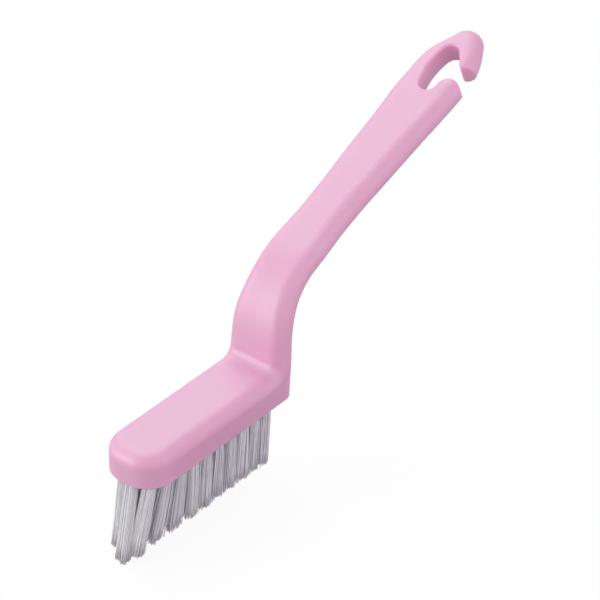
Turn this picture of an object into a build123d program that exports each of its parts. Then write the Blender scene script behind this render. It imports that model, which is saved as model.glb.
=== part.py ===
from build123d import *
import os
from math import acos, atan2, cos, degrees, hypot, pi, radians, sin, tan

# A small scrubbing brush: one moulded body (head block, cranked neck, flat handle and open
# hanging hook) that holds tufts of nylon bristle, each kept in its hole by a flat anchor.
# While it is built, X runs from the nose of the head to its heel, Y to the right-hand side
# and Z up from the face that the bristles leave. The finished part is moved at the end.

# Head block
head_length = 63.05
head_width = 20.7
head_thickness = 10.5
nose_corner_radius = 8.8
under_edge_radius = 0.4

# Neck and handle: one flat strip, bent once
strip_thickness = 7.5
neck_lean = 5.0              # degrees back from upright
neck_rise = 33.5             # from the underside to the corner that the bend rounds off
handle_slope = 22.2          # degrees up from level
bend_radius = 25.4           # at the middle of the strip
crease_radius = 2.7          # inner corner between head and neck
outer_edge_radius = 4.2      # upper edges of head, neck and handle
lower_edge_radius = 3.1      # rear edges of the neck and lower edges of the handle
least_side_flat = 0.2        # left between the two, where the strip gets too thin for both

# How much narrower the neck is than the head on each side, and how far up
neck_base_inset = 0.15
neck_base_height = 16.0
neck_middle_inset = 0.6
neck_middle_height = 24.0

# Half widths of the handle, and how far along it each one lies
bend_half_width = 8.6
waist_half_width = 8.12
waist_distance = 11.0
grip_half_width = 8.62
grip_distance = 35.0

# Hook: its places are measured along the handle from the bottom of the eye
eye_distance = 65.15         # from the end of the bend to the bottom of the eye
eye_seat_radius = 2.8        # the round end that hangs on a peg
eye_seat_along = 15.1
eye_seat_across = 0.0
eye_foot_radius = 2.7
eye_foot_across = -0.6
eye_back_radius = 24.0
lobe_radius = 3.8
lobe_turn = 5.0              # degrees that the lobe's centre stands ahead of the eye foot's
lobe_end_angle = -62.0       # where the lobe's curve runs out straight
tongue_angle = 35.5          # of the tongue's inner edge to the handle
tongue_length = 5.4          # straight part of the tongue's inner edge
tongue_tip_radius = 1.2
tongue_end_angle = -58.0     # direction of the tongue's blunt end, going outwards
hook_edge_radius = 0.8       # Outer line of the hook: (along from the bottom of the eye, across)
hook_right_edge = [(-11.0, 9.2), (-1.0, 9.65), (7.4, 9.4), (14.4, 8.6)]
hook_left_edge = [(-11.0, -9.55), (-1.0, -10.15), (5.6, -10.33), (12.6, -9.95), (17.9, -8.4)]
hook_nose_radius = 5.35
hook_nose_along = 21.3
hook_nose_across = -0.7
hook_nose_right_angle = 66.0
hook_nose_left_angle = -61.0

# Bristle field: tufts in a U round the head's edge, and a middle row between them
edge_row_offset = 6.5        # from the middle of the head to the outer rows
nose_margin = 3.9            # from the head's nose to the first tuft
heel_margin = 8.4            # from the last tufts to the head's heel
nose_count = 3               # tufts round the nose, between the two sides
least_tip_gap = 0.2          # between the tips of neighbouring tufts in a row
nose_row_gap = 0.9           # the same between the nose tuft and the middle row, at their holes
hole_radius = 1.65
hole_depth = 5.6
tuft_clearance = 0.1
row_tip_radius = 2.6
nose_tip_radius = 1.7
trim_drop = 20.8             # from the underside to the trimmed tips
toe_drop = 12.0              # how much longer the bristles would be right at the nose
toe_reach = 13.0
forward_lean = 5.7           # how far the nose tufts' tips stand forward of their holes
inward_lean = 2.1            # how far the outer tips stand inward at the nose
lean_start = 26.0
lean_full = 8.0
least_forward_share = 0.25
least_inward_share = 0.45

# Anchors: flat strips across the fold of each tuft
anchor_width = 4.0
anchor_height = 1.6
anchor_thickness = 0.35
anchor_roof = 0.9            # from the bottom of the hole to the anchor
anchor_body_clearance = 0.02
anchor_tuft_clearance = 0.05


def point_at(centre, radius, angle):
    """Point on a circle, with the angle in degrees."""
    return (centre[0] + radius * cos(radians(angle)), centre[1] + radius * sin(radians(angle)))


def angle_from(centre, point):
    """Direction from one point to another in degrees."""
    return degrees(atan2(point[1] - centre[1], point[0] - centre[0]))


# Path of the strip, worked out from the sizes above
neck_direction = 90 - neck_lean
bend_turn = neck_direction - handle_slope
neck_foot_x = head_length - strip_thickness / 2 / cos(radians(neck_lean))
corner_x = neck_foot_x + neck_rise * tan(radians(neck_lean))
bend_tangent = bend_radius * tan(radians(bend_turn / 2))
handle_x = corner_x + bend_tangent * cos(radians(handle_slope))
handle_z = neck_rise + bend_tangent * sin(radians(handle_slope))
handle_along = Vector(cos(radians(handle_slope)), 0, sin(radians(handle_slope)))
handle_up = Vector(-sin(radians(handle_slope)), 0, cos(radians(handle_slope)))
handle_plane = Plane(origin=(handle_x, 0, handle_z), x_dir=handle_along, z_dir=handle_up)


def side_slab():
    """Head, crease, neck and bend as seen from the side, still wider than the finished body."""
    wide = head_width * 2
    below = Vector(neck_foot_x - head_thickness * tan(radians(neck_lean)), 0, -head_thickness)
    corner = Vector(corner_x, 0, neck_rise)
    beyond = corner + handle_along * (bend_tangent * 2)
    path = FilletPolyline(below, corner, beyond, radius=bend_radius)
    straight_and_bend = Wire(path.edges().sort_by(Axis.Z)[:2])
    start = Plane(origin=below, x_dir=(0, 1, 0), z_dir=corner - below)
    strip = sweep(start * Rectangle(wide, strip_thickness), path=straight_and_bend)
    head_box = Box(neck_foot_x, wide, head_thickness, align=(Align.MIN, Align.CENTER, Align.MIN))
    under = Pos(0, 0, -head_thickness) * Box(head_length * 4, wide * 2, head_thickness * 2)
    slab = head_box + (strip - under)
    crease_x = neck_foot_x + head_thickness * tan(radians(neck_lean))
    crease_x -= strip_thickness / 2 / cos(radians(neck_lean))
    crease = slab.edges().filter_by(Axis.Y).sort_by_distance((crease_x, 0, head_thickness))[0]
    return fillet(crease, crease_radius)


def plan_outline():
    """The head from above, with its rounded nose; the heel end is left open for the neck."""
    half = head_width / 2
    rear = head_length * 2
    corners = Polyline((rear, -half), (0, -half), (0, half), (rear, half), close=True)
    plan = make_face(corners)
    front_corners = plan.vertices().sort_by(Axis.X)[:2]
    return fillet(front_corners, nose_corner_radius)


def front_outline():
    """Head and neck from the front, narrowing from the head's width to the handle's."""
    half = head_width / 2
    bend_end_height = handle_z - strip_thickness / 2 * cos(radians(handle_slope))
    top = handle_z + strip_thickness
    side = Spline(
        (half, head_thickness), (half - neck_base_inset, neck_base_height),
        (half - neck_middle_inset, neck_middle_height), (bend_half_width, bend_end_height),
        tangents=[(0, 1), (0, 1)],
    )
    rest = Polyline((bend_half_width, bend_end_height), (bend_half_width, top), (0, top), (0, 0),
                    (half, 0), (half, head_thickness))
    half_front = make_face(side + rest)
    facing = Plane(origin=(0, 0, 0), x_dir=(0, 1, 0), z_dir=(1, 0, 0))
    return facing * (half_front + mirror(half_front, Plane.YZ))


def head_and_neck():
    top = handle_z + strip_thickness
    return side_slab() & extrude(plan_outline(), top) & extrude(front_outline(), head_length * 2)


def handle_blade():
    """The straight part of the strip with the hook's outer line, before the eye is cut."""
    nose = (eye_distance + hook_nose_along, hook_nose_across)
    right_end = point_at(nose, hook_nose_radius, hook_nose_right_angle)
    left_end = point_at(nose, hook_nose_radius, hook_nose_left_angle)
    nose_front = point_at(nose, hook_nose_radius, 0)
    shaft = [(0, bend_half_width), (waist_distance, waist_half_width),
             (grip_distance, grip_half_width)]
    right_points = shaft + [(eye_distance + along, across) for along, across in hook_right_edge]
    left_points = [(along, -across) for along, across in shaft]
    left_points += [(eye_distance + along, across) for along, across in hook_left_edge]
    right_tangent = (sin(radians(hook_nose_right_angle)), -cos(radians(hook_nose_right_angle)))
    left_tangent = (-sin(radians(hook_nose_left_angle)), cos(radians(hook_nose_left_angle)))
    right_edge = Spline(*right_points, right_end, tangents=[(1, 0), right_tangent])
    left_edge = Spline(*left_points, left_end, tangents=[(1, 0), left_tangent])
    nose_arc = ThreePointArc(right_end, nose_front, left_end)
    root = Line((0, -bend_half_width), (0, bend_half_width))
    outline = make_face(right_edge + nose_arc + left_edge + root)
    return extrude(handle_plane.offset(-strip_thickness / 2) * outline, strip_thickness)


def eye_cutter():
    """The eye of the hook and its mouth, all in arcs that run into each other."""
    seat = (eye_distance + eye_seat_along, eye_seat_across)
    foot = (eye_distance + eye_foot_radius, eye_foot_across)
    lobe = point_at(foot, eye_foot_radius + lobe_radius, lobe_turn - 90)

    # the back of the eye touches the seat and the foot from outside
    span = hypot(seat[0] - foot[0], seat[1] - foot[1])
    to_foot = eye_back_radius - eye_foot_radius
    to_seat = eye_back_radius - eye_seat_radius
    swing = degrees(acos((to_foot ** 2 + span ** 2 - to_seat ** 2) / (2 * to_foot * span)))
    back = point_at(foot, to_foot, angle_from(foot, seat) - swing)
    back_to_seat = angle_from(back, seat)
    back_to_foot = angle_from(back, foot)

    seat_end = point_at(seat, eye_seat_radius, tongue_angle - 90)
    seat_start = point_at(seat, eye_seat_radius, back_to_seat)
    tip_inner = point_at(seat_end, tongue_length, tongue_angle + 180)
    tip = point_at(tip_inner, tongue_tip_radius, tongue_angle - 90)
    tip_side = (tongue_angle + tongue_end_angle) / 2 + 180
    tip_end = point_at(tip, tongue_tip_radius, tongue_end_angle - 90)
    tip_beyond = point_at(tip_end, head_width, tongue_end_angle)
    foot_start = point_at(foot, eye_foot_radius, back_to_foot)
    foot_end = point_at(foot, eye_foot_radius, lobe_turn - 90)
    lobe_outer = point_at(lobe, lobe_radius, lobe_end_angle)
    lobe_beyond = point_at(lobe_outer, head_width, lobe_end_angle - 90)

    line = ThreePointArc(tip_end, point_at(tip, tongue_tip_radius, tip_side), tip_inner)
    line += Line(tip_inner, seat_end)
    line += ThreePointArc(seat_end, point_at(seat, eye_seat_radius, 0), seat_start)
    line += ThreePointArc(
        seat_start, point_at(back, eye_back_radius, (back_to_seat + back_to_foot) / 2), foot_start)
    line += ThreePointArc(foot_start, point_at(foot, eye_foot_radius, 180), foot_end)
    line += ThreePointArc(foot_end, point_at(lobe, lobe_radius, 0), lobe_outer)
    line += Polyline(lobe_outer, lobe_beyond, tip_beyond, tip_end)
    return extrude(handle_plane * make_face(line), strip_thickness, both=True)


def rim(faces):
    """The edges round the outside of a group of neighbouring faces."""
    edges = [edge for face in faces for edge in face.edges()]
    return [edge for edge in edges if sum(edge.is_same(other) for other in edges) == 1]


def faces_towards(body, direction):
    """The faces from one side of the body to the other that look roughly one way."""
    chosen = []
    for face in body.faces():
        normal = face.normal_at(face.position_at(0.5, 0.5))
        if normal.dot(direction) > 0.3 and abs(normal.Y) < 0.05:
            chosen.append(face)
    return chosen


def round_edges(body):
    both_radii = outer_edge_radius + lower_edge_radius
    share = min(1, (strip_thickness - least_side_flat) / both_radii)
    front_and_up = Vector(-1, 0, 1).normalized()
    upper = [face for face in faces_towards(body, front_and_up) if face.center().X > 1]
    body = fillet(rim(upper), outer_edge_radius * share)
    rear_and_down = -front_and_up
    lower = [face for face in faces_towards(body, rear_and_down) if face.center().Z > 1]
    lower_rim = [edge for edge in rim(lower) if edge.center().Z > 0.01]
    body = fillet(lower_rim, lower_edge_radius * share)
    underside = body.faces().sort_by(Axis.Z)[0]
    return fillet(underside.edges(), under_edge_radius)


def cut_eye(body):
    cutter = eye_cutter()
    body = body - cutter
    wall = []
    for face in body.faces():
        spot = Vertex(*face.position_at(0.5, 0.5))
        if min(cut.distance_to(spot) for cut in cutter.faces()) < 0.001:
            wall.append(face)
    return fillet(rim(wall), hook_edge_radius)


def moulded_body():
    return cut_eye(round_edges(head_and_neck() + handle_blade()))


def edge_row_places():
    """Holes from the heel along the left side, round the nose and back along the right side."""
    arc_x = nose_margin + edge_row_offset
    last_x = head_length - heel_margin
    side = last_x - arc_x
    arc = pi * edge_row_offset
    nose_pitch = (nose_tip_radius * 2 + least_tip_gap) / (1 - inward_lean / edge_row_offset)
    least_pitch = max(row_tip_radius * 2 + least_tip_gap, nose_pitch)
    steps_beside_nose = (side * 2 + arc) / least_pitch - (nose_count - 1)
    side_count = int(steps_beside_nose / 2)
    pitch = (side * 2 + arc) / (side_count * 2 + nose_count - 1)
    places = []
    for number in range(side_count * 2 + nose_count):
        along = number * pitch
        if along < side:
            places.append((last_x - along, -edge_row_offset))
        elif along > side + arc:
            places.append((arc_x + along - side - arc, edge_row_offset))
        else:
            turn = degrees((along - side) / edge_row_offset)
            places.append(point_at((arc_x, 0), edge_row_offset, -90 - turn))
    return places, side_count, pitch


def tuft_places():
    """Each tuft's name with the place of its hole's mouth and the radius of its tips."""
    ring, side_count, pitch = edge_row_places()
    left = ring[:side_count]
    nose = ring[side_count:side_count + nose_count]
    right = ring[side_count + nose_count:]
    places = {}
    for number, place in enumerate(reversed(left), start=1):
        places[f"tuft_left_{number:02d}"] = (place, row_tip_radius)
    for side, place in zip(("left", "middle", "right"), nose):
        places[f"tuft_nose_{side}"] = (place, nose_tip_radius)
    for number, place in enumerate(right, start=1):
        places[f"tuft_right_{number:02d}"] = (place, row_tip_radius)
    last_x = head_length - heel_margin - pitch / 2
    nearest_x = nose_margin + nose_tip_radius * 2 + nose_row_gap
    middle_count = min(side_count, int((last_x - nearest_x) / pitch) + 1)
    for number in range(1, middle_count + 1):
        place = (last_x - (middle_count - number) * pitch, 0)
        tip_radius = nose_tip_radius if number == 1 else row_tip_radius
        places[f"tuft_middle_{number:02d}"] = (place, tip_radius)
    return places


def tip_of(place):
    """Middle of a tuft's trimmed tip: the nose tufts are longer and lean forward and inward."""
    x, y = place
    full_share = min(1, max(0, (lean_start - x) / (lean_start - lean_full)))
    forward = forward_lean * max(full_share, least_forward_share)
    inward = inward_lean * max(full_share, least_inward_share) * y / edge_row_offset
    extra = toe_drop * max(0, 1 - x / toe_reach) ** 2
    return Vector(x - forward, y - inward, -trim_drop - extra)


def hole_frame(place):
    """Plane at the mouth of a hole, with Z into the head along the tuft."""
    mouth = Vector(place[0], place[1], 0)
    into_head = (mouth - tip_of(place)).normalized()
    return Plane(origin=mouth, x_dir=Vector(0, 1, 0).cross(into_head), z_dir=into_head)


bottom_up = (Align.CENTER, Align.CENTER, Align.MIN)
top_down = (Align.CENTER, Align.CENTER, Align.MAX)


def anchor_block(place, clearance, width=anchor_width):
    """The strip that lies across the fold of a tuft, or the room that it needs."""
    middle = hole_depth - anchor_roof - anchor_height / 2
    block = Box(anchor_thickness + clearance * 2, width + clearance * 2,
                anchor_height + clearance * 2)
    return hole_frame(place) * Pos(0, 0, middle) * block


def hole(place):
    below = under_edge_radius * 2
    drill = Pos(0, 0, -below) * Cylinder(hole_radius, hole_depth + below, align=bottom_up)
    return hole_frame(place) * drill


def tuft(place, tip_radius):
    """A bundle of bristles: a straight root in the hole, and a fan from there to the tips."""
    root_radius = hole_radius - tuft_clearance
    exposed = (Vector(place[0], place[1], 0) - tip_of(place)).length
    root = Cylinder(root_radius, hole_depth - tuft_clearance, align=bottom_up)
    fan = Cone(tip_radius, root_radius, exposed, align=top_down)
    gap = anchor_block(place, anchor_tuft_clearance, width=hole_radius * 4)
    return hole_frame(place) * (root + fan) - gap


def make_pieces():
    places = tuft_places()
    rooms = [hole(place) for place, _ in places.values()]
    rooms += [anchor_block(place, anchor_body_clearance) for place, _ in places.values()]
    pieces = {"brush_body": moulded_body() - rooms}
    for name, (place, tip_radius) in places.items():
        pieces[name] = tuft(place, tip_radius)
    anchors = [anchor_block(place, 0) for place, _ in places.values()]
    pieces["tuft_anchors"] = Compound(children=[anchor.solid() for anchor in anchors])
    return pieces


def to_part_frame(pieces):
    """Origin on the floor under the middle of the part, as it stands on its bristle tips."""
    box = Compound(children=[Compound(piece.solids()) for piece in pieces.values()]).bounding_box()
    middle = box.center()
    return Pos(-middle.X, -middle.Y, -box.min.Z)


if __name__ == "__main__":
    all_pieces = make_pieces()
    placing = to_part_frame(all_pieces)
    os.makedirs("parts", exist_ok=True)
    for name, piece in all_pieces.items():
        export_step(placing * piece, f"parts/{name}.step")
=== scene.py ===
import math
import random

import bmesh
import bpy
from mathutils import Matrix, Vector


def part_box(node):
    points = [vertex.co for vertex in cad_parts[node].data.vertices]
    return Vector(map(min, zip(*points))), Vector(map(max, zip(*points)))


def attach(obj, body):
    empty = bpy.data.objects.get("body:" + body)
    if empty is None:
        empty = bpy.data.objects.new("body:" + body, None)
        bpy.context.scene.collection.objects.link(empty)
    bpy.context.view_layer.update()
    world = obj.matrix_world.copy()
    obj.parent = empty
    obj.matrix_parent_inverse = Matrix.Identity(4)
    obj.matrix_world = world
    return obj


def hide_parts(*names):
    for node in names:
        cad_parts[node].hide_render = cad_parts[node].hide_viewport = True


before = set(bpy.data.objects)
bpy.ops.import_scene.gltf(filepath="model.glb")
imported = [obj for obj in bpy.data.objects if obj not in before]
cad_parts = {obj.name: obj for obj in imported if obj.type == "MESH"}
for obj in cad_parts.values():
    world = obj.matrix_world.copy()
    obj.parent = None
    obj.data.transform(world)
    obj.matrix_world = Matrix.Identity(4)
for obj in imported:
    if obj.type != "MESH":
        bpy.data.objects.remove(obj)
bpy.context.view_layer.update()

mm = 0.001
random.seed(7)

for leftover in [thing for thing in bpy.data.objects if thing.type in ("LIGHT", "CAMERA")]:
    bpy.data.objects.remove(leftover)
scene = bpy.context.scene
scene.view_settings.view_transform = "Standard"
print("frame loaded:", len(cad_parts), "nodes")


# Shared shader effects, each built once as a node group

def startGroup(name, inputs, outputs):
    tree = bpy.data.node_groups.new(name, "ShaderNodeTree")
    for socketName, kind, value in inputs:
        socket = tree.interface.new_socket(name=socketName, in_out="INPUT", socket_type=kind)
        socket.default_value = value
    for socketName, kind in outputs:
        tree.interface.new_socket(name=socketName, in_out="OUTPUT", socket_type=kind)
    return tree, tree.nodes.new("NodeGroupInput"), tree.nodes.new("NodeGroupOutput")


def colourDriftGroup():
    # slow uneven pigment: a colour that wanders a little round the one it's given
    tree, given, result = startGroup(
        "colourDrift",
        [("Colour", "NodeSocketColor", (0.5, 0.5, 0.5, 1)), ("Size", "NodeSocketFloat", 120.0),
         ("Amount", "NodeSocketFloat", 0.05)],
        [("Colour", "NodeSocketColor")],
    )
    place = tree.nodes.new("ShaderNodeTexCoord")
    cloud = tree.nodes.new("ShaderNodeTexNoise")
    cloud.inputs["Detail"].default_value = 3.0
    spread = tree.nodes.new("ShaderNodeMapRange")
    spread.inputs["From Min"].default_value = 0.3
    spread.inputs["From Max"].default_value = 0.7
    spread.inputs["To Min"].default_value = -0.5
    spread.inputs["To Max"].default_value = 0.5
    strength = tree.nodes.new("ShaderNodeMath")
    strength.operation = "MULTIPLY_ADD"
    strength.inputs[2].default_value = 1.0
    tint = tree.nodes.new("ShaderNodeHueSaturation")
    links = tree.links
    links.new(place.outputs["Object"], cloud.inputs["Vector"])
    links.new(given.outputs["Size"], cloud.inputs["Scale"])
    links.new(cloud.outputs["Fac"], spread.inputs["Value"])
    links.new(spread.outputs["Result"], strength.inputs[0])
    links.new(given.outputs["Amount"], strength.inputs[1])
    links.new(strength.outputs["Value"], tint.inputs["Value"])
    links.new(given.outputs["Colour"], tint.inputs["Color"])
    links.new(tint.outputs["Color"], result.inputs["Colour"])
    return tree


grainHeight = 0.06 * mm  # of the fine bumps, at a depth of 1
patchSize = 160.0        # noise scale of the duller and shinier patches, per metre


def fineGrainGroup():
    # the light spark texture of a mould: a bumped normal, and a roughness that varies in patches
    tree, given, result = startGroup(
        "fineGrain",
        [("Size", "NodeSocketFloat", 2500.0), ("Depth", "NodeSocketFloat", 0.1),
         ("Roughness", "NodeSocketFloat", 0.45), ("Spread", "NodeSocketFloat", 0.1)],
        [("Roughness", "NodeSocketFloat"), ("Normal", "NodeSocketVector")],
    )
    place = tree.nodes.new("ShaderNodeTexCoord")
    grain = tree.nodes.new("ShaderNodeTexNoise")
    grain.inputs["Detail"].default_value = 2.0
    patches = tree.nodes.new("ShaderNodeTexNoise")
    patches.inputs["Scale"].default_value = patchSize
    patches.inputs["Detail"].default_value = 2.0
    bump = tree.nodes.new("ShaderNodeBump")
    bump.inputs["Distance"].default_value = grainHeight
    lift = tree.nodes.new("ShaderNodeMath")
    lift.operation = "SUBTRACT"
    lift.inputs[1].default_value = 0.5
    vary = tree.nodes.new("ShaderNodeMath")
    vary.operation = "MULTIPLY_ADD"
    links = tree.links
    links.new(place.outputs["Object"], grain.inputs["Vector"])
    links.new(place.outputs["Object"], patches.inputs["Vector"])
    links.new(given.outputs["Size"], grain.inputs["Scale"])
    links.new(given.outputs["Depth"], bump.inputs["Strength"])
    links.new(grain.outputs["Fac"], bump.inputs["Height"])
    links.new(patches.outputs["Fac"], lift.inputs[0])
    links.new(lift.outputs["Value"], vary.inputs[0])
    links.new(given.outputs["Spread"], vary.inputs[1])
    links.new(given.outputs["Roughness"], vary.inputs[2])
    links.new(vary.outputs["Value"], result.inputs["Roughness"])
    links.new(bump.outputs["Normal"], result.inputs["Normal"])
    return tree


colourDrift = colourDriftGroup()
fineGrain = fineGrainGroup()


def newMaterial(name):
    material = bpy.data.materials.new(name)
    material.use_nodes = True
    nodes = material.node_tree.nodes
    return material, nodes, material.node_tree.links, nodes["Principled BSDF"]


def placeGroup(nodes, tree, values):
    box = nodes.new("ShaderNodeGroup")
    box.node_tree = tree
    for name, value in values.items():
        box.inputs[name].default_value = value
    return box


# Brush body: one pink moulding, whose solid stays

bodyLook = {
    "pink": (0.755, 0.355, 0.57, 1),
    "driftSize": 45.0,       # noise scale of the pigment's drift, per metre
    "driftAmount": 0.03,
    "grainSize": 3200.0,     # noise scale of the mould's texture, per metre
    "grainDepth": 0.25,
    "roughness": 0.58,
    "roughnessSpread": 0.06,
    "glow": 0.8,             # how much light soaks into the plastic
    "glowDepth": 3.0 * mm,
    "glowReach": (1.0, 0.22, 0.5),  # how far each of red, green and blue gets
    "gloss": 1.0,
    "index": 1.9,            # above a real plastic's, for the pale sheen on its tops
}


def bodyPlastic(look):
    material, nodes, links, shader = newMaterial("pinkPlastic")
    drift = placeGroup(nodes, colourDrift, {
        "Colour": look["pink"], "Size": look["driftSize"], "Amount": look["driftAmount"]})
    grain = placeGroup(nodes, fineGrain, {
        "Size": look["grainSize"], "Depth": look["grainDepth"],
        "Roughness": look["roughness"], "Spread": look["roughnessSpread"]})
    links.new(drift.outputs["Colour"], shader.inputs["Base Color"])
    links.new(grain.outputs["Roughness"], shader.inputs["Roughness"])
    links.new(grain.outputs["Normal"], shader.inputs["Normal"])
    shader.inputs["Subsurface Weight"].default_value = look["glow"]
    shader.inputs["Subsurface Radius"].default_value = look["glowReach"]
    shader.inputs["Subsurface Scale"].default_value = look["glowDepth"]
    shader.inputs["Specular IOR Level"].default_value = look["gloss"]
    shader.inputs["IOR"].default_value = look["index"]
    return material


def dress(node, material):
    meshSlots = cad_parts[node].data.materials
    if len(meshSlots) == 0:
        meshSlots.append(material)
    for number in range(len(meshSlots)):
        meshSlots[number] = material


dress("brush_body", bodyPlastic(bodyLook))
print("brush body dressed")


# Anchors: rolled metal strip, sealed in the head

anchorLook = {
    "metal": (0.76, 0.62, 0.38, 1),
    "grainSize": 900.0,
    "grainDepth": 0.15,
    "roughness": 0.32,
    "roughnessSpread": 0.15,
}


def anchorMetal(look):
    material, nodes, links, shader = newMaterial("anchorStrip")
    grain = placeGroup(nodes, fineGrain, {
        "Size": look["grainSize"], "Depth": look["grainDepth"],
        "Roughness": look["roughness"], "Spread": look["roughnessSpread"]})
    shader.inputs["Base Color"].default_value = look["metal"]
    shader.inputs["Metallic"].default_value = 1.0
    links.new(grain.outputs["Roughness"], shader.inputs["Roughness"])
    links.new(grain.outputs["Normal"], shader.inputs["Normal"])
    return material


dress("tuft_anchors", anchorMetal(anchorLook))
print("anchors dressed")


# Tufts: each tuft becomes a bundle of separate nylon filaments

# Where the holes are and how the tufts lean, in millimetres from the head's nose,
# its middle line and its underside, as in the part.
field = {
    "headLength": 63.05,
    "rowOffset": 6.5,
    "noseMargin": 3.9,
    "heelMargin": 8.4,
    "rowTufts": 9,
    "noseTufts": ("left", "middle", "right"),
    "rowTipRadius": 2.6,
    "noseTipRadius": 1.7,
    "trimDrop": 20.8,
    "toeDrop": 12.0,
    "toeReach": 13.0,
    "forwardLean": 5.7,
    "inwardLean": 2.1,
    "leanStart": 26.0,
    "leanFull": 8.0,
    "leastForward": 0.25,
    "leastInward": 0.45,
}

filament = {
    "radius": 0.1,          # mm
    "rowHairs": 200,        # ends in a tuft: a hundred filaments, each folded in half
    "noseHairs": 340,
    "sides": 5,
    "bends": 5,             # straight pieces along each filament
    "rootDepth": 2.9,       # how far the filaments reach up into their hole, mm
    "bundleRadius": 1.43,   # of the filaments' middles in the hole, mm
    "rowFlare": 0.32,       # below 1, the bundle opens early on its way down
    "noseFlare": 0.3,
    "rowSquareness": 0.85,  # how far the tips of neighbouring tufts fill the corners between them
    "noseSquareness": 0.5,
    "rowAlong": 1.14,       # the tips mingle along a row, so they spread further than their solids
    "rowAcross": 1,
    "noseAlong": 0.915,     # the nose tufts stay a little slimmer along the brush
    "noseAcross": 1.62,     # and reach further across it
    "noseBack": 1.5,        # and towards the tufts behind them
    "clumps": 6,            # groups of a tuft's filaments that lean together
    "gather": 0.1,          # how far each clump's tips draw together
    "clumpOut": 0.75,       # where in the tuft's radius a clump's tips draw to
    "wander": 0.125,        # usual sideways bow of a filament, mm
    "tipScatter": 0.35,     # how unevenly the tips spread, mm
    "trimScatter": 0.35,    # how unevenly the tips are cut, mm
    "leastTrim": 0.1,       # share of that which every filament loses
    "clumpTrim": 1.1,       # how unevenly clumps are cut, mm
    "tipNarrowing": 0.85,   # width of a filament's end as a share of the rest
    "heelTuck": 0.35,       # how much narrower the last tufts stay on the heel's side
    "rowShade": 0.5,        # brightness of the darkest clump of a row tuft, from 0 to 1: painted shade, as the rows hang in the head's shade
    # painted light: the nose tufts face the light from the front left, so all their clumps are
    # painted at full brightness
    "noseShade": 1.0,
    "shadeSpread": 0.15,    # how much a filament differs from its clump
}


def holePlaces(f):
    arcX = f["noseMargin"] + f["rowOffset"]
    lastX = f["headLength"] - f["heelMargin"]
    side = lastX - arcX
    arc = math.pi * f["rowOffset"]
    count = f["rowTufts"] * 2 + len(f["noseTufts"])
    pitch = (side * 2 + arc) / (count - 1)
    ring = []
    for number in range(count):
        along = number * pitch
        if along < side:
            ring.append((lastX - along, -f["rowOffset"]))
        elif along > side + arc:
            ring.append((arcX + along - side - arc, f["rowOffset"]))
        else:
            turn = -math.pi / 2 - (along - side) / f["rowOffset"]
            ring.append((arcX + f["rowOffset"] * math.cos(turn), f["rowOffset"] * math.sin(turn)))
    rows = f["rowTufts"]
    noseEnd = rows + len(f["noseTufts"])
    named = {}
    for number, place in enumerate(reversed(ring[:rows]), start=1):
        named[f"tuft_left_{number:02d}"] = (place, f["rowTipRadius"])
    for which, place in zip(f["noseTufts"], ring[rows:noseEnd]):
        named[f"tuft_nose_{which}"] = (place, f["noseTipRadius"])
    for number, place in enumerate(ring[noseEnd:], start=1):
        named[f"tuft_right_{number:02d}"] = (place, f["rowTipRadius"])
    for number in range(1, rows + 1):
        place = (lastX - pitch / 2 - (rows - number) * pitch, 0)
        named[f"tuft_middle_{number:02d}"] = (
            place, f["noseTipRadius"] if number == 1 else f["rowTipRadius"])
    return named


def tipMiddle(place, f):
    x, y = place
    share = min(1, max(0, (f["leanStart"] - x) / (f["leanStart"] - f["leanFull"])))
    forward = f["forwardLean"] * max(share, f["leastForward"])
    inward = f["inwardLean"] * max(share, f["leastInward"]) * y / f["rowOffset"]
    extra = f["toeDrop"] * max(0, 1 - x / f["toeReach"]) ** 2
    return Vector((x - forward, y - inward, -f["trimDrop"] - extra))


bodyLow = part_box("brush_body")[0]
headCorner = Vector((bodyLow.x, 0, bodyLow.z))  # nose of the head on its underside


def straightFilament():
    # one filament standing on the origin, one unit long, cut into rings
    shape = bmesh.new()
    bmesh.ops.create_cone(shape, cap_ends=True, cap_tris=False, segments=filament["sides"],
                          radius1=filament["radius"] * mm, radius2=filament["radius"] * mm, depth=1)
    bmesh.ops.translate(shape, verts=shape.verts, vec=(0, 0, 0.5))
    for number in range(1, filament["bends"]):
        everything = shape.verts[:] + shape.edges[:] + shape.faces[:]
        bmesh.ops.bisect_plane(shape, geom=everything, plane_no=(0, 0, 1),
                               plane_co=(0, 0, number / filament["bends"]))
    for face in shape.faces:
        face.smooth = abs(face.normal.z) < 0.5  # the cut ends stay flat
    mesh = bpy.data.meshes.new("straightFilament")
    shape.to_mesh(mesh)
    shape.free()
    return mesh


def sunflower(number, count):
    # evenly packed places in a circle of radius 1, with the direction of each
    turn = number * math.pi * (3 - math.sqrt(5)) % (2 * math.pi)
    out = math.sqrt((number + 0.5) / count)
    return out * math.cos(turn), out * math.sin(turn), turn


def squareOut(a, b, share):
    # draws a circle's places out towards the corners of the square round it
    larger = max(abs(a), abs(b))
    grow = 1 + share * (math.hypot(a, b) / larger - 1)
    return a * grow, b * grow


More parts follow.
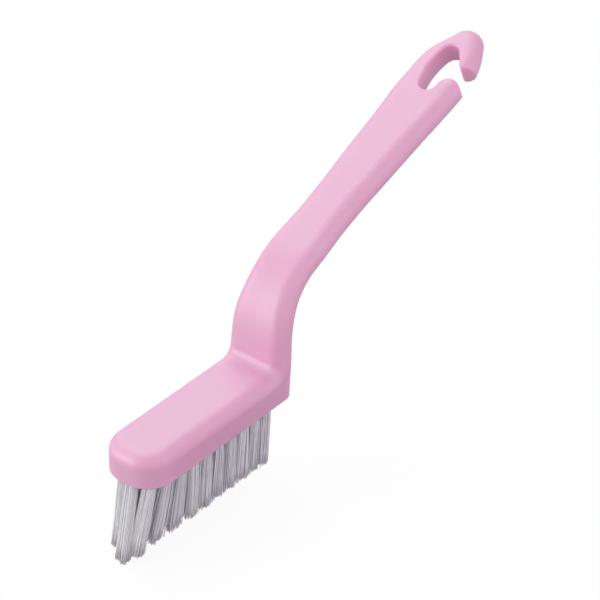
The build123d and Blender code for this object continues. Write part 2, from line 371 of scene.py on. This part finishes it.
def bristleTuft(name, place, tipRadius, template, material):
    longTuft = tipRadius == field["noseTipRadius"]
    heelTuft = place[0] > field["headLength"] - field["heelMargin"] - tipRadius / 2
    kind = "nose" if longTuft else "row"
    flare = filament[kind + "Flare"]
    squareness = filament[kind + "Squareness"]
    mouth = Vector((place[0], place[1], 0))
    tip = tipMiddle(place, field)
    downward = (tip - mouth).normalized()
    sideways = Vector((0, 1, 0)).cross(-downward).normalized()
    across = (-downward).cross(sideways)
    start = mouth - downward * filament["rootDepth"]
    reach = (tip - start).length
    mouthShare = filament["rootDepth"] / reach
    bundle = bmesh.new()
    shade = bundle.verts.layers.float.new("filamentShade")
    count = filament[kind + "Hairs"]
    perFilament = len(template.vertices)
    # painted shade: each clump gets a brightness at random between its kind's shade and 1, so
    # darker streaks stand in for the shade between clumps
    clumpShades = [random.uniform(filament[kind + "Shade"], 1) for _ in range(filament["clumps"])]
    clumpCuts = [random.uniform(-1, 0) * filament["clumpTrim"] for _ in clumpShades]
    leastCut = max(clumpCuts)  # so that one clump of each tuft keeps its length
    spread = tipRadius - filament["radius"] - filament["tipScatter"] / 2
    spreadAlong = spread * filament[kind + "Along"]
    spreadAcross = spread * filament[kind + "Across"]
    rimDrop = tipRadius * math.sqrt(1 - downward.z ** 2)  # how low a leaning tuft's rim hangs
    for number in range(count):
        unitA, unitB, turn = sunflower(number, count)
        clump = int(turn / (2 * math.pi) * filament["clumps"])
        middleTurn = (clump + 0.5) / filament["clumps"] * 2 * math.pi
        rootA = unitA * filament["bundleRadius"]
        rootB = unitB * filament["bundleRadius"]
        tipA, tipB = squareOut(unitA, unitB, squareness)
        tipA += (filament["clumpOut"] * math.cos(middleTurn) - tipA) * filament["gather"]
        tipB += (filament["clumpOut"] * math.sin(middleTurn) - tipB) * filament["gather"]
        tipA = tipA * spreadAlong + random.uniform(-1, 1) * filament["tipScatter"]
        if tipA > 0 and heelTuft:
            tipA *= filament["heelTuck"]
        if tipA > 0 and longTuft:
            tipA *= filament["noseBack"]
        tipB = tipB * spreadAcross + random.uniform(-1, 1) * filament["tipScatter"]
        bowTurn = random.uniform(0, 2 * math.pi)
        bow = random.gauss(0, filament["wander"])
        ownCut = random.uniform(-1, -filament["leastTrim"]) * filament["trimScatter"]
        cut = clumpCuts[clump] - leastCut + ownCut
        bright = clumpShades[clump] + random.uniform(-1, 1) * filament["shadeSpread"]
        bundle.from_mesh(template)
        bundle.verts.ensure_lookup_table()
        for vert in bundle.verts[-perFilament:]:
            share = vert.co.z
            opened = max(0, (share - mouthShare) / (1 - mouthShare)) ** flare
            bend = bow * math.sin(math.pi * opened)
            a = rootA + (tipA - rootA) * opened + bend * math.cos(bowTurn)
            b = rootB + (tipB - rootB) * opened + bend * math.sin(bowTurn)
            atTip = share > 1 - 0.5 / filament["bends"]
            wide = filament["tipNarrowing"] if atTip else 1.0
            level = share * (reach + rimDrop + cut)
            # the tips are cut level, so they follow the floor and not the tuft's own slope
            slope = -(sideways.z * a + across.z * b) * opened / downward.z
            centre = start + downward * (level + slope) + sideways * a + across * b
            flat = sideways * (vert.co.x / mm * wide) + across * (vert.co.y / mm * wide)
            vert.co = headCorner + (centre + flat) * mm
            vert[shade] = min(1, max(0, bright))
    mesh = bpy.data.meshes.new(name)
    bundle.to_mesh(mesh)
    bundle.free()
    mesh.materials.append(material)
    piece = bpy.data.objects.new(name, mesh)
    scene.collection.objects.link(piece)
    return piece


bristleLook = {
    "nylon": (0.95, 0.96, 0.98, 1),
    # painted shade: the colour that the darker clumps of filaments are mixed towards
    "shadow": (0.73, 0.77, 0.84, 1),
    "roughness": 0.28,
    "glow": 0.1,            # light that soaks through the filaments
    "glowDepth": 0.3 * mm,
    "glowReach": (1.0, 0.95, 1.0),
    "index": 1.58,
    "driftSize": 300.0,     # noise scale of the colour's drift, per metre
    "driftAmount": 0.08,
}


def nylon(look):
    material, nodes, links, shader = newMaterial("nylonBristle")
    # painted shade: the base colour runs from the shadow colour to bare nylon by each filament's
    # filamentShade
    shade = nodes.new("ShaderNodeAttribute")
    shade.attribute_name = "filamentShade"
    mix = nodes.new("ShaderNodeMix")
    mix.data_type = "RGBA"
    mix.inputs["A"].default_value = look["shadow"]
    mix.inputs["B"].default_value = look["nylon"]
    drift = placeGroup(nodes, colourDrift, {
        "Size": look["driftSize"], "Amount": look["driftAmount"]})
    links.new(shade.outputs["Fac"], mix.inputs["Factor"])
    links.new(mix.outputs["Result"], drift.inputs["Colour"])
    links.new(drift.outputs["Colour"], shader.inputs["Base Color"])
    shader.inputs["Roughness"].default_value = look["roughness"]
    shader.inputs["Subsurface Weight"].default_value = look["glow"]
    shader.inputs["Subsurface Radius"].default_value = look["glowReach"]
    shader.inputs["Subsurface Scale"].default_value = look["glowDepth"]
    shader.inputs["IOR"].default_value = look["index"]
    return material


def growBristles():
    template = straightFilament()
    material = nylon(bristleLook)
    places = holePlaces(field)
    for name, (place, tipRadius) in places.items():
        piece = bristleTuft(name.replace("tuft", "bristles"), place, tipRadius, template, material)
        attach(piece, "root")
        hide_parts(name)
    bpy.data.meshes.remove(template)
    print("tufts grown:", len(places))


growBristles()


# Floor, light and camera

stageLook = {
    "floorSize": 8.0,
    "floor": (0.32, 0.24, 0.29, 1),  # the light that it throws back up, a little rosy
    "seenFloor": (0.96, 0.96, 0.96, 1),
    "seenWhite": 0.92,      # the rest of what the camera and reflections see is the lit floor
}


def floorMaterial(look):
    material = bpy.data.materials.new("paleFloor")
    material.use_nodes = True
    nodes = material.node_tree.nodes
    links = material.node_tree.links
    nodes.clear()
    plain = nodes.new("ShaderNodeBsdfDiffuse")
    white = nodes.new("ShaderNodeEmission")
    rays = nodes.new("ShaderNodeLightPath")
    colour = nodes.new("ShaderNodeMix")
    colour.data_type = "RGBA"
    colour.inputs["A"].default_value = look["floor"]
    colour.inputs["B"].default_value = look["seenFloor"]
    mirrored = nodes.new("ShaderNodeMath")
    mirrored.operation = "MAXIMUM"
    seen = nodes.new("ShaderNodeMath")
    seen.operation = "MAXIMUM"
    share = nodes.new("ShaderNodeMath")
    share.operation = "MULTIPLY"
    share.inputs[1].default_value = look["seenWhite"]
    mix = nodes.new("ShaderNodeMixShader")
    output = nodes.new("ShaderNodeOutputMaterial")
    links.new(rays.outputs["Is Glossy Ray"], mirrored.inputs[0])
    links.new(rays.outputs["Is Transmission Ray"], mirrored.inputs[1])
    links.new(rays.outputs["Is Camera Ray"], seen.inputs[0])
    links.new(mirrored.outputs["Value"], seen.inputs[1])
    links.new(seen.outputs["Value"], colour.inputs["Factor"])
    links.new(colour.outputs["Result"], plain.inputs["Color"])
    links.new(seen.outputs["Value"], share.inputs[0])
    links.new(share.outputs["Value"], mix.inputs["Fac"])
    links.new(plain.outputs["BSDF"], mix.inputs[1])
    links.new(white.outputs["Emission"], mix.inputs[2])
    links.new(mix.outputs["Shader"], output.inputs["Surface"])
    return material


def layFloor(look):
    shape = bmesh.new()
    bmesh.ops.create_grid(shape, x_segments=1, y_segments=1, size=look["floorSize"] / 2)
    mesh = bpy.data.meshes.new("studioFloor")
    shape.to_mesh(mesh)
    shape.free()
    mesh.materials.append(floorMaterial(look))
    floor = bpy.data.objects.new("studioFloor", mesh)
    scene.collection.objects.link(floor)


def areaLamp(name, look, aim):
    lamp = bpy.data.lights.new(name, "AREA")
    lamp.shape = "RECTANGLE"
    lamp.size, lamp.size_y = look["size"]
    lamp.energy = look["power"]
    lamp.color = look["colour"]
    holder = bpy.data.objects.new(name, lamp)
    direction = Vector(look["towards"]).normalized()
    holder.location = aim + direction * look["distance"]
    holder.rotation_euler = direction.to_track_quat("Z", "Y").to_euler()
    scene.collection.objects.link(holder)


# Each lamp stands off from the aim in its own direction and shines back at it: metres and watts.
lightLook = {
    "sky": 0.66,
    "aim": Vector((0, 0, 0.05)),
    "key": {"towards": (-0.78, 0.58, 0.25), "distance": 1.6, "size": (1.2, 0.8),
            "power": 11.5, "colour": (1, 1, 1)},
    "fill": {"towards": (0.05, -0.95, 0.32), "distance": 1.9, "size": (2.6, 1.3),
             "power": 11.8, "colour": (1, 0.83, 0.97)},
    "sheen": {"towards": (0.34, 0.54, 0.77), "distance": 1.4, "size": (1.2, 1.2),
              "power": 7.2, "colour": (0.8, 1, 0.93)},
}


def lightScene(look):
    world = bpy.data.worlds.new("studioSky")
    world.use_nodes = True
    sky = world.node_tree.nodes["Background"]
    sky.inputs["Color"].default_value = (1, 1, 1, 1)
    sky.inputs["Strength"].default_value = look["sky"]
    scene.world = world
    for name in ("key", "fill", "sheen"):
        areaLamp(name + "Lamp", look[name], look["aim"])


photoView = {
    "azimuth": -50.78,      # degrees round the part, from its -Y side towards +X
    "elevation": 34.6,
    "distance": 0.9706,
    "lens": 198.0,
    "sensor": 36.0,
    "nearest": 0.01,        # of what the camera shows, in metres
    "furthest": 50.0,
    "aim": Vector((-0.521, 0.030, 47.917)) * mm,
}


def setCamera(view):
    azimuth = math.radians(view["azimuth"])
    elevation = math.radians(view["elevation"])
    back = Vector((math.sin(azimuth) * math.cos(elevation),
                   -math.cos(azimuth) * math.cos(elevation), math.sin(elevation)))
    lens = bpy.data.cameras.new("photoCamera")
    lens.sensor_width = view["sensor"]
    lens.lens = view["lens"]
    lens.clip_start = view["nearest"]
    lens.clip_end = view["furthest"]
    camera = bpy.data.objects.new("photoCamera", lens)
    camera.location = view["aim"] + back * view["distance"]
    camera.rotation_euler = back.to_track_quat("Z", "Y").to_euler()
    scene.collection.objects.link(camera)
    scene.camera = camera


layFloor(stageLook)
lightScene(lightLook)
setCamera(photoView)
print("floor, light and camera set")
